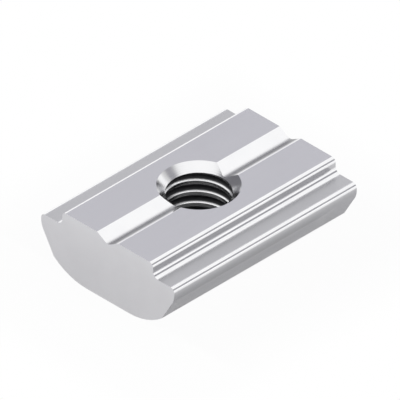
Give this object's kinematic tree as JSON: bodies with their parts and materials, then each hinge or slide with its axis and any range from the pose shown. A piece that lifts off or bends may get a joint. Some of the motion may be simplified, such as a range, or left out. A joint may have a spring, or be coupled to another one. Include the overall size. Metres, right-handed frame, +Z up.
{
  "type": "t slot nut",
  "caption": "Drawn steel T-slot nut with a tapped hole, clamping ledges, a rounded belly and a centring groove along its land.",
  "frame": {"origin": "on the flat foot, under the middle of the tapped hole, which is also the middle of the nut's length and width", "axes": "+X along the bar, which is the nut's length; +Y across its width; +Z up from the foot, along the tapped hole, towards the land"},
  "size_m": [0.019, 0.0138, 0.0057],
  "materials": {
    "plated_steel": "bright zinc plate over drawn steel"
  },
  "bodies": {
    "root": {"slot_nut": "plated_steel"}
  },
  "joints": []
}
